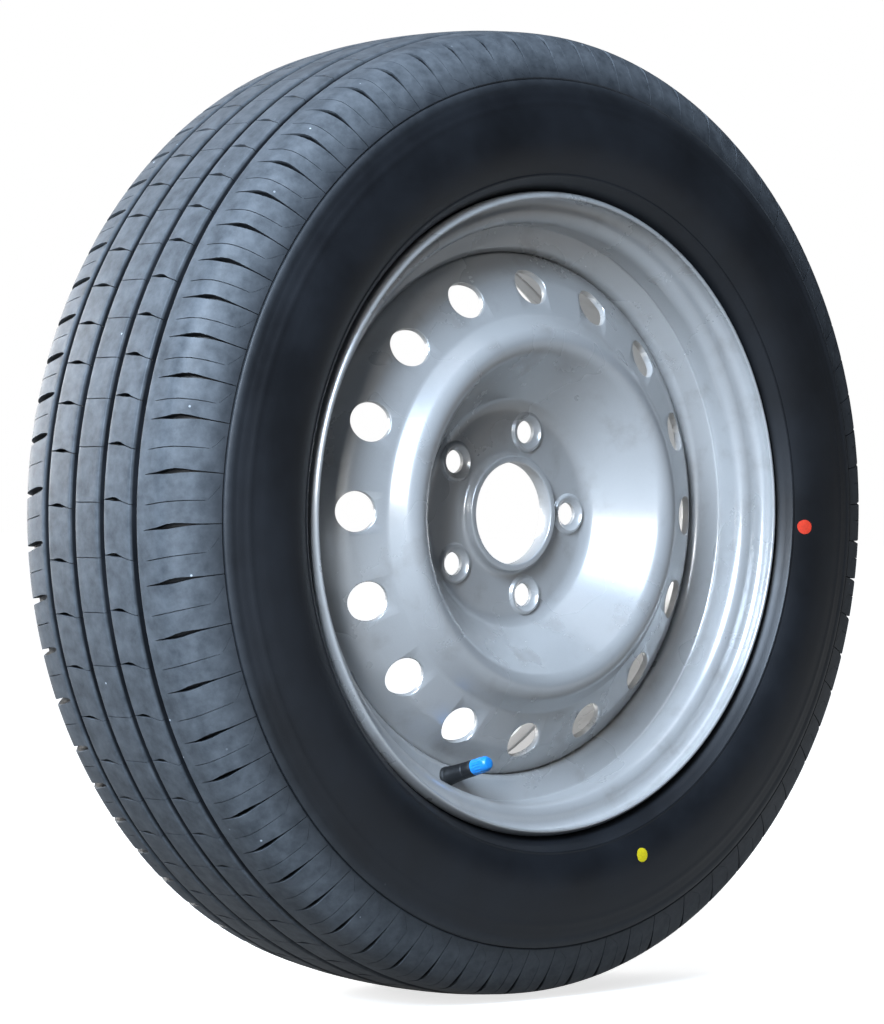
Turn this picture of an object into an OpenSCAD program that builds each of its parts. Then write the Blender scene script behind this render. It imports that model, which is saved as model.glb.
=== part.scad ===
// Pressed steel road wheel with a tubeless radial tyre and a snap-in valve.
// The wheel stands upright: the axle lies along Y, the outboard face looks towards -Y,
// and the origin is the centre of the tyre. Every piece is drawn lying flat, with +Z
// outboard, and wheel_frame() turns it upright.

/* [Tyre] */
// Outer diameter of the tyre, over the tread
tyre_d = 629; // [600:1:660]
// Bulge of each sidewall past the rim's flange
bulge = 27.65; // [24:0.05:32]
// Radius of the tread's crown across its width
crown_r = 470; // [350:10:900]
// Width of the tread, before the shoulders round off
tread_w = 128; // [118:1:136]
// Rubber and belts under the tread grooves
under_tread = 6; // [4:0.5:9]
// Thickness of the sidewall where it is widest
sidewall_t = 6.5; // [4:0.5:9]
// Width of each bead on its seat
bead_w = 16.5; // [14:0.5:17]
// Space left between the bead and the rim
bead_gap = 0.25; // [0.1:0.05:0.6]

/* [Tread pattern] */
// Depth of the tread grooves
groove_depth = 7.5; // [4:0.5:9]
// Width of the four round grooves
groove_w = 6.3; // [4:0.1:9]
// Distance of the two middle grooves from the centre
groove_mid = 14; // [11:0.5:17]
// Distance of the two outer grooves from the centre
groove_out = 43.3; // [40:0.1:46]
// Depth of the cross slots
slot_depth = 6; // [3:0.5:7.5]
// Widest part of the outboard shoulder slots
slot_w = 3.2; // [1.5:0.1:4.5]
// Width of the inboard shoulder slots
inner_slot_w = 4; // [2:0.1:5]
// Width of the short notches in the ribs
notch_w = 2.6; // [1.5:0.1:4]
// Angle of a short pitch
pitch_short = 4.72; // [4.5:0.01:5]
// Angle of a long pitch
pitch_long = 6.13; // [5.5:0.01:6.3]

/* [Rim] */
// Rim width between the flanges
rim_w = 139.7; // [127:0.1:152.4]
// Diameter at the bead seat
seat_d = 380.2; // [378:0.1:382]
// Height of the flange over the bead seat
flange_h = 17.3; // [15:0.1:19]
// Radius of the flange's curl
flange_bend = 9.5; // [8:0.1:11]
// Thickness of the rim sheet
rim_t = 2.6; // [2:0.1:2.8]
// Depth of the well under the bead seat
well_depth = 17.3; // [15:0.1:19]
// Distance of the well's outboard wall from the flange
well_wall_in = 27.55; // [26:0.05:29]
// Lean of the well's outboard wall
wall_lean = 18; // [12:0.5:24]

/* [Disc] */
// Thickness of the disc plate
disc_t = 4; // [3:0.1:5]
// Distance from the tyre's centre to the face that meets the hub
offset_z = 33; // [28:0.5:38]
// Diameter of the hub bore
bore_d = 66.6; // [56:0.1:74]
// Height of the collar round the bore, over the hub face
collar_h = 11.4; // [8:0.1:14]
// Wall of the collar
collar_t = 4.4; // [3:0.1:6]
// Pitch circle of the wheel bolts
pcd = 112; // [108:1:116]
// Number of wheel bolts
bolt_count = 5; // [4:1:6]
// Diameter of the bolt holes
bolt_d = 15; // [13:0.5:16]
// Radius of the round seats for the bolt heads
ball_r = 14; // [12:0.5:16]
// Number of vent holes
vent_count = 16; // [10:1:18]
// Diameter of the vent holes
vent_d = 26.5; // [18:0.5:30]
// Distance of the ring of vent holes from the cone's high edge
vent_in = 13.4; // [12:0.1:15]
// Height of the crown over the hub face
crown_h = 47.1; // [42:0.1:52]
// Length of the skirt that sits in the rim
skirt_l = 26.3; // [20:0.1:30]

/* [Valve] */
// Place of the valve round the wheel
valve_angle = 250.7; // [0:0.1:360]
// Height over the well at which the valve goes through its wall
valve_up = 7.2; // [6.6:0.1:7.8]
// Hole for the valve in the rim
valve_hole_d = 11.5; // [11:0.1:12.5]
// Diameter over the stem's thread
stem_d = 7.7; // [7:0.1:8.5]
// Height of the stem's end over the rim
stem_h = 35.4; // [32:0.1:40]
// Diameter of the cap
cap_d = 10.4; // [9.6:0.1:12]
// Length of the cap
cap_l = 13.2; // [12:0.1:15]
// Lift of the core's pin
pin_travel = 1.2; // [0.6:0.1:1.6]

/* [Hidden] */
$fn = 96;
arc_step = 6;

// Tyre
tyre_r = tyre_d / 2;
seat_r = seat_d / 2;
seat_angle = 5;
rim_half = rim_w / 2;
flange_r = seat_r + flange_h;
curl_centre = [flange_r - flange_bend, rim_half + flange_bend];
section_h = tyre_r - flange_r;
widest_z = rim_half + bulge;
tread_half = tread_w / 2;
rib_w = groove_out - groove_mid - groove_w;
shoulder_w = tread_half - groove_out;
heel_round = 6.5;
leave_angle = -25;
liner_r = tyre_r - groove_depth - under_tread;
shoulder_tilt = 42;
crown_step = tread_half / 4;
tyre_step = 12;

// Pitches: each third of the tread has a run of short, of long and of middle pitches
thirds = 3;
short_run = 9;
long_run = 6;
mid_run = 8;
pitch_mid = (360 / thirds - short_run * pitch_short - long_run * pitch_long) / mid_run;
pitch_start = 127.2;
pitch_steps = [for (k = [1:thirds]) each concat([for (i = [1:short_run]) pitch_short],
               [for (i = [1:long_run]) pitch_long], [for (i = [1:mid_run]) pitch_mid])];
function sum_to(v, n) = n == 0 ? 0 : v[n - 1] + sum_to(v, n - 1);
pitch_at = [for (i = [0:len(pitch_steps) - 1]) pitch_start + sum_to(pitch_steps, i)];

// Rim
lip_angle = 45;
well_r = seat_r - well_depth;
well_wall_z = rim_half - well_wall_in;
hump_h = 1.4;
hump_z = rim_half - 20;
wall_top_r = seat_r - 2.1;

// Disc
disc_seat_r = well_r - rim_t;
skirt_top_z = well_wall_z - 4;
skirt_z = skirt_top_z - skirt_l;
nave_r = pcd / 2 + 16;
nave_z = offset_z + disc_t;
collar_top = offset_z + collar_h;
crown_z = offset_z + crown_h;
dish_w = disc_seat_r - nave_r;
ring_low = [disc_seat_r - 0.1283 * dish_w, skirt_top_z + 7.9];
ring_high = [nave_r + 0.6212 * dish_w, crown_z - 8.6];
crown = [nave_r + 0.3473 * dish_w, crown_z];
vent_lean = atan2(ring_high.y - ring_low.y, ring_low.x - ring_high.x);
vent_r = ring_high.x + vent_in;
boss_h = 2;
boss_r = 13;
ball_face_r = 11;
weld_count = 4;
weld_arc = 48;
weld_leg = 4;

// Valve
neck_gap = 0.25;
neck_d = valve_hole_d - 2 * neck_gap;
stem_bore = 5.3;
stem_root = 7;
cap_z = stem_h - 10.2;
rubber_top = cap_z - 0.4;
cap_gap = 0.2;
core_gap = 0.05;
core_z = stem_h - 1;
pin_d = 1.5;
spring_wire = 0.4;
spring_turns = 5;
spring_low = -9.2;
spring_high = -3.3;

// Geometry helpers

function unit(v) = v / norm(v);
function flat(p) = [p.x, p.y];

// Points of a circular arc from angle a to angle b
function arc(c, r, a, b, step = arc_step) = let (n = ceil(abs(b - a) / step))
    [for (i = [0:n]) c + r * [cos(a + (b - a) * i / n), sin(a + (b - a) * i / n)]];

// Points that round the corner b, between its neighbours a and c, with radius r
function fillet(a, b, c, r, step = arc_step) =
    let (u = unit(a - b), v = unit(c - b), half = acos(u * v) / 2, sweep = 180 - 2 * half,
         centre = b + unit(u + v) * r / sin(half), p = b + u * r / tan(half) - centre,
         q = b + v * r / tan(half) - centre, n = max(1, ceil(sweep / step)))
    [for (i = [0:n]) centre + (p * sin(sweep * (n - i) / n) + q * sin(sweep * i / n)) / sin(sweep)];

// A path through corners [r, z, fillet radius]; its two ends are points [r, z]
function rounded(c, step = arc_step) = [for (i = [0:len(c) - 1])
    each len(c[i]) < 3 ? [c[i]] : fillet(flat(c[i - 1]), flat(c[i]), flat(c[i + 1]), c[i][2], step)];

// The same, with each rounding's reach given as a share of its shorter side
function softened(c, step = arc_step) = [for (i = [0:len(c) - 1])
    each len(c[i]) < 3 ? [c[i]] :
    let (a = flat(c[i - 1]), b = flat(c[i]), d = flat(c[i + 1]), half = acos(unit(a - b) * unit(d - b)) / 2)
    fillet(a, b, d, c[i][2] * min(norm(a - b), norm(d - b)) * tan(half), step)];

// Half circle that closes the end of a sheet, from its edge p round to its edge q
function sheet_end(p, q, n = 6) = let (c = (p + q) / 2, u = p - c, v = [u.y, -u.x])
    [for (i = [1:n - 1]) c + u * cos(180 * i / n) + v * sin(180 * i / n)];

// The path moved sideways by t, to its left
function beside(p, t) = [for (i = [0:len(p) - 1])
    let (d1 = unit(p[max(i, 1)] - p[max(i, 1) - 1]),
         d2 = unit(p[min(i + 1, len(p) - 1)] - p[min(i + 1, len(p) - 1) - 1]),
         n1 = [-d1.y, d1.x], n2 = [-d2.y, d2.x])
    p[i] + t * (n1 + n2) / (1 + n1 * n2)];

function reverse(p) = [for (i = [len(p) - 1:-1:0]) p[i]];
function mirror_z(p) = [for (q = p) [q.x, -q.y]];

// Upright, with +Z of the flat drawing towards -Y
module wheel_frame() rotate([90, 0, 0]) children();

// Profile of the tyre

// Radius of the crown at height z from the centre
function crown_at(z, r = tyre_r) = r - crown_r + sqrt(crown_r * crown_r - z * z);

// A point at a share of the sidewall's height over the flange
function side_at(share, z) = [flange_r + share * section_h, z];

shoulder_z = tread_half * 1.0625;
shoulder = [crown_at(shoulder_z), shoulder_z];
side_high = side_at(0.4813, widest_z);
side_low = side_at(0.174, widest_z);
tread_end = tread_half * 0.875;

// Half of the outer surface, from the middle of the tread to the rim
function outer_half() = concat(
    [for (z = [0:crown_step:tread_end - 1]) [crown_at(z), z]],
    softened([[crown_at(tread_end), tread_end], [shoulder.x, shoulder.y, 0.56],
              [side_high.x, side_high.y, 0.66], [side_low.x, side_low.y, 0.36],
              [flange_r + 4.4, curl_centre.y + 7, 0.2],
              curl_centre + (flange_bend + bead_gap) * [cos(leave_angle), sin(leave_angle)]], tyre_step));

// Half of the bead, from the flange's curl down to the toe
function bead_half() = concat(
    arc(curl_centre, flange_bend + bead_gap, leave_angle, -84, tyre_step),
    rounded([[curl_centre.x, rim_half - bead_gap],
             [seat_r + bead_gap, rim_half - bead_gap, heel_round],
             [seat_r + bead_gap - bead_w * tan(seat_angle), rim_half - bead_gap - bead_w]], tyre_step));

// Half of the inner surface, from the toe up to the middle of the tread
liner_low = side_at(0.2204, widest_z - sidewall_t);
liner_high = side_at(0.4813, widest_z - sidewall_t);
liner_end = tread_half * 0.75;
function liner_half() = concat(
    softened([[seat_r + 1, rim_half - bead_w - 1],
              [seat_r + 5, rim_half - bead_w + 1, 0.1], [seat_r + 14, rim_half - 8, 0.1],
              [liner_low.x, liner_low.y, 0.46], [liner_high.x, liner_high.y, 0.45],
              [liner_r - 4.5, tread_half - 1, 0.41], [crown_at(liner_end, liner_r), liner_end]], tyre_step),
    [for (z = [liner_end - crown_step:-crown_step:0]) [crown_at(z, liner_r), z]]);

function tyre_half() = concat(outer_half(), bead_half(), liner_half());

// A cutter that lies across the tread: its outline is [along, side] in millimetres, along runs
// outboard from the place [r, z] on the tread, and tilt turns it down over the shoulder
module slot(angle, place, tilt, outline) {
    rotate([0, 0, angle]) translate([place.x, 0, place.y]) rotate([0, 90 - tilt, 0])
        linear_extrude(20) polygon([for (p = outline) [-p.x, p.y]]);
}

// Outboard shoulder slot: pointed, widest over the shoulder, bent back towards the edge
shoulder_outline = [for (p = [[-0.97, 1.6], [-0.43, 2.2], [0, slot_w / 2 + 0.5], [0.39, slot_w / 2 - 1],
                              [1.11, -2.4], [1.11, -3.2], [0.68, -3.3], [0.14, -slot_w / 2 - 0.3], [-0.39, 0]])
    [p.x * shoulder_w, p.y]];
// Inboard shoulder slot, open at the edge
inboard_outline = [for (p = [[1.11, -3], [0.82, -inner_slot_w / 2 - 0.8], [0, -inner_slot_w / 2 + 0.8],
                             [-1.2, -inner_slot_w / 2 + 2], [-1.2, inner_slot_w / 2 + 2],
                             [0, inner_slot_w / 2 + 0.8], [0.82, inner_slot_w / 2 - 0.8]])
    [p.x * shoulder_w, p.y]];
// Notch in a rib, bent and running out as a narrow slit into the next groove
notch_outline = [[0, 0.6], [5, notch_w / 2 + 0.2], [9, notch_w / 4], [rib_w - 1, 2.9], [rib_w - 1, 2.3],
                 [11.5, -0.6], [7, -notch_w / 2 - 0.2], [3, -notch_w / 2 + 0.3]];

module tread_slots() {
    floor_r = crown_at(groove_mid) - slot_depth;
    for (i = [0:len(pitch_at) - 1]) {
        mid = pitch_steps[i] / 2;
        slot(pitch_at[i], shoulder - [slot_depth + 1.5, 0], shoulder_tilt, shoulder_outline);
        slot(pitch_at[i] + 2.1, [shoulder.x - slot_depth - 1.5, -shoulder.y], -shoulder_tilt, inboard_outline);
        slot(pitch_at[i] + mid + 0.1, [floor_r, groove_mid + groove_w / 2 + 3], 0, notch_outline);
        slot(pitch_at[i] + mid + 0.9, [floor_r, -groove_out + groove_w / 2 + 3], 0, notch_outline);
    }
}

module tyre() {
    color("#3b4450") wheel_frame() difference() {
        rotate_extrude() polygon(concat(tyre_half(), reverse(mirror_z(tyre_half()))));
        for (s = [-1, 1], z = [groove_mid, groove_out]) translate([0, 0, s * z]) groove(crown_at(z));
        tread_slots();
    }
}

// One round groove: wider at the surface than at its floor
module groove(r) {
    rotate_extrude() polygon([[r - groove_depth, -groove_w / 2 + 1], [r + 3, -groove_w / 2 - 0.4],
                              [r + 3, groove_w / 2 + 0.4], [r - groove_depth, groove_w / 2 - 1]]);
}

// Profile of the rolled rim, on its tyre side

function half_flange() = arc(curl_centre, flange_bend, lip_angle, -90);
function seat_corners() = [[seat_r, rim_half, heel_round],
    [seat_r - (rim_half - hump_z - 3.2) * tan(seat_angle), hump_z + 3.2, 3],
    [seat_r - (rim_half - hump_z) * tan(seat_angle) + hump_h, hump_z, rim_t + 0.2]];
wall_top = [wall_top_r, well_wall_z + (wall_top_r - well_r) * tan(wall_lean)];

function rim_path() = concat(
    half_flange(),
    rounded(concat(
        [[curl_centre.x - 0.5, rim_half]], seat_corners(), [[wall_top.x, wall_top.y, 4.2]],
        [[well_r, well_wall_z, 4], [well_r, -0.057 * rim_half, 12], [seat_r - 7.6, -0.4 * rim_half, 20],
         [wall_top_r - 1, -hump_z + 3, 5]],
        reverse([for (p = seat_corners()) [p.x, -p.y, p.z]]), [[curl_centre.x - 0.5, -rim_half]])),
    reverse(mirror_z(half_flange())));

module rim() {
    outside = rim_path();
    inside = beside(outside, -rim_t);
    last = len(outside) - 1;
    color("#b9bec2") wheel_frame() difference() {
        rotate_extrude() polygon(concat(outside, sheet_end(outside[last], inside[last]), reverse(inside),
                                        sheet_end(inside[0], outside[0])));
        at_valve() cylinder(d = valve_hole_d, h = 30, center = true);
    }
}

// Pressed disc

function disc_face() = softened([[disc_seat_r, skirt_z], [disc_seat_r, skirt_top_z, 0.22],
    [ring_low.x, ring_low.y, 0.05], [ring_high.x, ring_high.y, 0.2], [crown.x, crown.y, 0.62],
    [nave_r, nave_z, 0.18], [bore_d / 2 + collar_t + 3.6, nave_z]]);

module disc() {
    face = disc_face();
    back = beside(face, disc_t);
    bore_r = bore_d / 2;
    color("#b9bec2") wheel_frame() difference() {
        union() {
            rotate_extrude() polygon(concat(face,
                fillet([bore_r + collar_t + 3.6, nave_z], [bore_r + collar_t, nave_z],
                       [bore_r + collar_t, collar_top], 3.5),
                [[bore_r + collar_t, collar_top - 0.8], [bore_r + collar_t - 0.8, collar_top],
                 [bore_r + 0.6, collar_top], [bore_r, collar_top - 0.6], [bore_r, offset_z + 1],
                 [bore_r + 1, offset_z]],
                reverse(back)));
            at_bolts() translate([0, 0, nave_z - 1]) cylinder(r1 = boss_r + 1.5, r2 = boss_r, h = boss_h + 1);
        }
        at_bolts() {
            cylinder(d = bolt_d, h = 2 * nave_z);
            translate([0, 0, nave_z + boss_h + sqrt(ball_r * ball_r - ball_face_r * ball_face_r)])
                sphere(ball_r);
        }
        for (i = [0:vent_count - 1]) rotate([0, 0, i * 360 / vent_count])
            translate([vent_r, 0, ring_low.y + (ring_low.x - vent_r) * tan(vent_lean) - disc_t / 2 / cos(vent_lean)])
                rotate([0, vent_lean, 0]) cylinder(d = vent_d, h = 40, center = true);
        for (i = [0:weld_count - 1]) rotate([0, 0, 45 + i * 360 / weld_count])
            translate([disc_seat_r - 20, 0, skirt_z - 52]) rotate([0, 90, 0]) cylinder(r = 60, h = 40);
    }
}

module at_bolts() for (i = [0:bolt_count - 1]) rotate([0, 0, i * 360 / bolt_count])
    translate([pcd / 2, 0, 0]) children();

// Weld between the disc's skirt and the well, on the inboard side
module weld_beads() {
    color("#a3a7aa") wheel_frame() for (i = [0:weld_count - 1])
        rotate([0, 0, i * 360 / weld_count - weld_arc / 2]) rotate_extrude(angle = weld_arc)
            polygon([[disc_seat_r, skirt_z], [disc_seat_r, skirt_z - weld_leg],
                     [disc_seat_r - weld_leg * 0.6, skirt_z - weld_leg * 0.6], [disc_seat_r - weld_leg, skirt_z]]);
}

// Valve, drawn along +Z with its origin on the visible side of the well wall

module at_valve() {
    z = well_wall_z + valve_up * tan(wall_lean);
    rotate([0, 0, valve_angle])
        translate([well_r + valve_up - rim_t * sin(wall_lean), 0, z + rim_t * cos(wall_lean)])
            rotate([0, -wall_lean, 0]) children();
}

module turned(outline) rotate_extrude($fn = 64) polygon(outline);

module valve_body() {
    color("#1c1d20") wheel_frame() at_valve() turned([
        [stem_d / 2, -rim_t - 6.5], [6.2, -rim_t - 6.5], [7, -rim_t - 3.5], [7, -rim_t - 1.6],
        [6.2, -rim_t - 0.8], [neck_d / 2, -rim_t - 0.3], [neck_d / 2, 0.3], [6.4, 0.3], [6.4, 2.2], [6, 5],
        [5.7, 8], [5.5, 14], [5.2, rubber_top - 1], [4.8, rubber_top], [stem_d / 2, rubber_top]]);
}

module valve_stem() {
    color("#c8a24a") wheel_frame() at_valve() turned([
        [stem_bore / 2 - 0.9, -stem_root - rim_t], [3.2, -stem_root - rim_t], [stem_d / 2, -stem_root - rim_t + 0.6],
        [stem_d / 2, stem_h - 0.6], [stem_d / 2 - 0.6, stem_h], [stem_bore / 2, stem_h],
        [stem_bore / 2, core_z - 14], [stem_bore / 2 - 0.9, core_z - 15]]);
}

// Threaded barrel of the valve core, open for the pin and the spring
module core_barrel() {
    r = stem_bore / 2 - core_gap;
    color("#c8a24a") wheel_frame() at_valve() turned([
        [pin_d / 2 + 0.2, core_z - 9.4], [r - 0.6, core_z - 9.4], [r - 0.6, core_z - 6.6], [r, core_z - 6.6], [r, core_z - 0.4],
        [r - 0.4, core_z], [pin_d / 2 + 0.12, core_z], [pin_d / 2 + 0.12, core_z - 1.6], [1.75, core_z - 1.6],
        [1.75, core_z - 9.2], [pin_d / 2 + 0.2, core_z - 9.2]]);
}

module core_gasket() {
    color("#b8362c") wheel_frame() at_valve() turned([
        [stem_bore / 2 - core_gap - 0.55, core_z - 9.2], [stem_bore / 2 - core_gap, core_z - 8.8],
        [stem_bore / 2 - core_gap, core_z - 7.2], [stem_bore / 2 - core_gap - 0.55, core_z - 6.8]]);
}

// Pin with its collar under the spring and the retainer of the cup
module core_pin() {
    r = pin_d / 2;
    color("#c8a24a") wheel_frame() at_valve() turned([
        [0, core_z - 12.6], [1.5, core_z - 12.6], [1.5, core_z - 12], [r, core_z - 12], [r, core_z - 3.2],
        [1.45, core_z - 3.2], [1.45, core_z - 2.6], [r, core_z - 2.6], [r, core_z + 0.5], [r - 0.2, core_z + 0.7],
        [0, core_z + 0.7]]);
}

module core_cup() {
    color("#26272a") wheel_frame() at_valve() turned([
        [pin_d / 2 + 0.05, core_z - 11.9], [1.6, core_z - 11.9], [2.1, core_z - 10.6], [2.1, core_z - 9.5],
        [pin_d / 2 + 0.05, core_z - 9.5]]);
}

// Spring round the pin, between the collar and the foot of the barrel
module core_spring() {
    pitch = (spring_high - spring_low - spring_wire) / spring_turns;
    color("#aeb4b8") wheel_frame() at_valve() for (i = [0:spring_turns])
        translate([0, 0, core_z + spring_low + spring_wire / 2 + i * pitch])
            rotate_extrude($fn = 48) translate([1.25, 0]) circle(d = spring_wire, $fn = 16);
}

module valve_cap() {
    r = cap_d / 2;
    top = cap_z + cap_l;
    color("#1e90f0") wheel_frame() at_valve() turned([
        [stem_d / 2 + cap_gap, cap_z], [r - 0.3, cap_z], [r, cap_z + 0.5], [r - 0.1, top - 3], [r - 0.5, top - 1.2],
        [r - 1.6, top - 0.2], [r - 3, top], [0, top], [0, stem_h + 1.3], [stem_d / 2 + cap_gap, stem_h + 1.3]]);
}

module cap_seal() {
    color("#26272a") wheel_frame() at_valve() turned([
        [2, stem_h], [stem_d / 2 + 0.1, stem_h], [stem_d / 2 + 0.1, stem_h + 1.3], [2, stem_h + 1.3]]);
}

tyre();
rim();
disc();
weld_beads();
valve_body();
valve_stem();
core_barrel();
core_gasket();
core_pin();
core_cup();
core_spring();
valve_cap();
cap_seal();
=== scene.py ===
import bpy, bmesh, math
from mathutils import Matrix, Vector, noise


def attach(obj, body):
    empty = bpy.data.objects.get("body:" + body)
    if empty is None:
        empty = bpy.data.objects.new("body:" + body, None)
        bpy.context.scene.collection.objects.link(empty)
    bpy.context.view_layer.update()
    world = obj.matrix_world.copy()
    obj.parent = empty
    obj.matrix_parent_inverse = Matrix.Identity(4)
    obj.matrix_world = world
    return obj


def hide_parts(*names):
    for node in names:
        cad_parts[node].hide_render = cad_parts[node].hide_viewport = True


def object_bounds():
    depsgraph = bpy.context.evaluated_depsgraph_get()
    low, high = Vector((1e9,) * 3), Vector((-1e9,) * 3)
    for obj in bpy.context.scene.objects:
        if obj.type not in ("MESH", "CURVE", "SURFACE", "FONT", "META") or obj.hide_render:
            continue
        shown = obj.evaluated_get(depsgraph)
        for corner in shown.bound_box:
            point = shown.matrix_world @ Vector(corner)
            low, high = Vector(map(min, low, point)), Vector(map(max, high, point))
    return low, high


# A pressed steel road wheel with its tyre. The axle lies along Y and the outboard face looks
# towards -Y, so every profile below is [radius, distance outboard] in millimetres.

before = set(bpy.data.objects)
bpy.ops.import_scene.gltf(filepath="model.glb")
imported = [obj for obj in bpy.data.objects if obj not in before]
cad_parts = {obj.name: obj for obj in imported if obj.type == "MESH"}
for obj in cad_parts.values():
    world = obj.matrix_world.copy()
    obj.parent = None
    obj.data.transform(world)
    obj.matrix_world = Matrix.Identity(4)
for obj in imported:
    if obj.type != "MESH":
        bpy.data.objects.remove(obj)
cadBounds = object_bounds()
mm = 0.001


# Small tools

def linearColour(hexText):
    # sRGB hex to the linear values that nodes take
    parts = [int(hexText[i:i + 2], 16) / 255 for i in (1, 3, 5)]
    return [c / 12.92 if c <= 0.04045 else ((c + 0.055) / 1.055) ** 2.4 for c in parts] + [1.0]


def place(radius, outboard, angle=0.0):
    turn = math.radians(angle)
    return Vector((radius * math.cos(turn), -outboard, radius * math.sin(turn))) * mm


def roundedOutline(corners):
    # corners are [radius, outboard, rounding, segments]; the last two may be left out
    bm = bmesh.new()
    verts = [bm.verts.new(place(c[0], c[1])) for c in corners]
    bm.faces.new(verts)
    spots = [v.co.copy() for v in verts]
    for i, c in enumerate(corners):
        if len(c) < 3 or c[2] == 0:
            continue
        before, after = spots[i - 1] - spots[i], spots[(i + 1) % len(spots)] - spots[i]
        half = before.angle(after) / 2
        segments = c[3] if len(c) > 3 else max(2, round((180 - 2 * math.degrees(half)) / 7))
        bmesh.ops.bevel(bm, geom=[verts[i]], offset=c[2] * mm / math.tan(half), offset_type="OFFSET",
                        segments=segments, profile=0.5, affect="VERTICES", clamp_overlap=False, material=-1)
    bmesh.ops.delete(bm, geom=bm.faces[:], context="FACES_ONLY")
    return bm


def turnedBody(corners, steps, angle=360.0, start=0.0):
    # spins the outline round the axle
    bm = roundedOutline(corners)
    bmesh.ops.rotate(bm, verts=bm.verts, cent=(0, 0, 0),
                     matrix=Matrix.Rotation(math.radians(-start), 3, "Y"))
    full = angle == 360.0
    bmesh.ops.spin(bm, geom=bm.verts[:] + bm.edges[:], cent=(0, 0, 0), axis=(0, -1, 0), dvec=(0, 0, 0),
                   angle=math.radians(angle), steps=steps, use_merge=full)
    bmesh.ops.remove_doubles(bm, verts=bm.verts, dist=1e-6)
    bmesh.ops.delete(bm, geom=[e for e in bm.edges if e.is_wire], context="EDGES")
    if not full:
        bmesh.ops.holes_fill(bm, edges=[e for e in bm.edges if e.is_boundary], sides=0)
    bmesh.ops.recalc_face_normals(bm, faces=bm.faces)
    return bm


def repeatAt(bm, angles):
    # copies of the piece at each of the angles round the axle, in a mesh of their own
    mesh = bpy.data.meshes.new("one")
    bm.to_mesh(mesh)
    bm.free()
    row = bmesh.new()
    for angle in angles:
        have = len(row.verts)
        row.from_mesh(mesh)
        row.verts.ensure_lookup_table()
        bmesh.ops.rotate(row, verts=row.verts[have:], cent=(0, 0, 0),
                         matrix=Matrix.Rotation(math.radians(-angle), 3, "Y"))
    bpy.data.meshes.remove(mesh)
    return row


def meshObject(name, bm):
    mesh = bpy.data.meshes.new(name)
    bm.to_mesh(mesh)
    bm.free()
    made = bpy.data.objects.new(name, mesh)
    bpy.context.scene.collection.objects.link(made)
    return made


def smoothFaces(made, sharpAngle=35.0):
    made.data.shade_smooth()
    made.data.set_sharp_from_angle(angle=math.radians(sharpAngle))


def cutAway(made, cutter, operation="DIFFERENCE"):
    # one cut or union, applied at once; the cutter is thrown away
    cut = made.modifiers.new("cut", "BOOLEAN")
    cut.operation, cut.object, cut.solver = operation, cutter, "MANIFOLD"
    evaluated = made.evaluated_get(bpy.context.evaluated_depsgraph_get())
    result = bpy.data.meshes.new_from_object(evaluated)
    made.modifiers.clear()
    old, made.data = made.data, result
    result.name = made.name
    bpy.data.meshes.remove(old)
    bpy.data.objects.remove(cutter)


def mendCuts(made):
    # splits the many-cornered faces that cuts leave, so that smooth shading has nothing to catch on
    bm = bmesh.new()
    bm.from_mesh(made.data)
    bmesh.ops.dissolve_degenerate(bm, edges=bm.edges, dist=0.000001)
    bmesh.ops.triangulate(bm, faces=[f for f in bm.faces if len(f.verts) > 4], ngon_method="BEAUTY")
    bm.to_mesh(made.data)
    bm.free()


def dress(made, body, slotName, material, *nodes):
    # the piece rides on its body, takes its material and stands for its CAD nodes
    made.data.materials.clear()
    made.data.materials.append(material)
    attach(made, body)
    if nodes:
        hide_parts(*nodes)
    return made


def fillSockets(material, node, values):
    # a socket is linked, a hex text becomes a colour, anything else is set as it is
    for name, value in values.items():
        if isinstance(value, bpy.types.NodeSocket):
            material.node_tree.links.new(value, node.inputs[name])
        else:
            node.inputs[name].default_value = linearColour(value) if isinstance(value, str) else value


def addNode(material, kind, inputs=None, take=0, stops=None, **settings):
    # adds a node with its settings and links, and gives back one of its outputs
    node = material.node_tree.nodes.new("ShaderNode" + kind)
    for name, value in settings.items():
        setattr(node, name, value)
    fillSockets(material, node, inputs or {})
    for i, (position, value) in enumerate(stops or []):
        elements = node.color_ramp.elements
        element = elements[i] if i < len(elements) else elements.new(position)
        element.position = position
        element.color = linearColour(value) if isinstance(value, str) else (value, value, value, 1)
    return node.outputs[take]


def newMaterial(name):
    material = bpy.data.materials.new(name)
    material.use_nodes = True
    return material, material.node_tree.nodes["Principled BSDF"]


# Camera: fitted to the photograph

cameraView = {
    "azimuth": 42.4295,   # degrees, to the left of the wheel's face
    "elevation": 0.2082,
    "roll": 0.8788,
    "distance": 2.55252,  # metres from the tyre's centre
    "sideways": -0.016985,
    "upwards": -0.0000016,
    "focal": 3873.67 / 1024,  # focal length over the picture's long side
}


def makeCamera(v):
    a, e, r = (math.radians(v[k]) for k in ("azimuth", "elevation", "roll"))
    back = Vector((-math.sin(a) * math.cos(e), -math.cos(a) * math.cos(e), math.sin(e)))
    right = Vector((math.cos(a), -math.sin(a), 0))
    up = back.cross(right)
    lens = bpy.data.cameras.new("camera")
    lens.sensor_width, lens.lens = 36, 36 * v["focal"]
    made = bpy.data.objects.new("camera", lens)
    bpy.context.scene.collection.objects.link(made)
    turnedRight = math.cos(r) * right + math.sin(r) * up
    turnedUp = -math.sin(r) * right + math.cos(r) * up
    spot = back * v["distance"] + right * v["sideways"] + up * v["upwards"]
    turned = Matrix((turnedRight, turnedUp, back)).transposed().to_4x4()
    made.matrix_world = Matrix.Translation(spot) @ turned
    lens.clip_start, lens.clip_end = 0.05, 30
    bpy.context.scene.camera = made


makeCamera(cameraView)
print("stage: camera set")


# Materials

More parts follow.
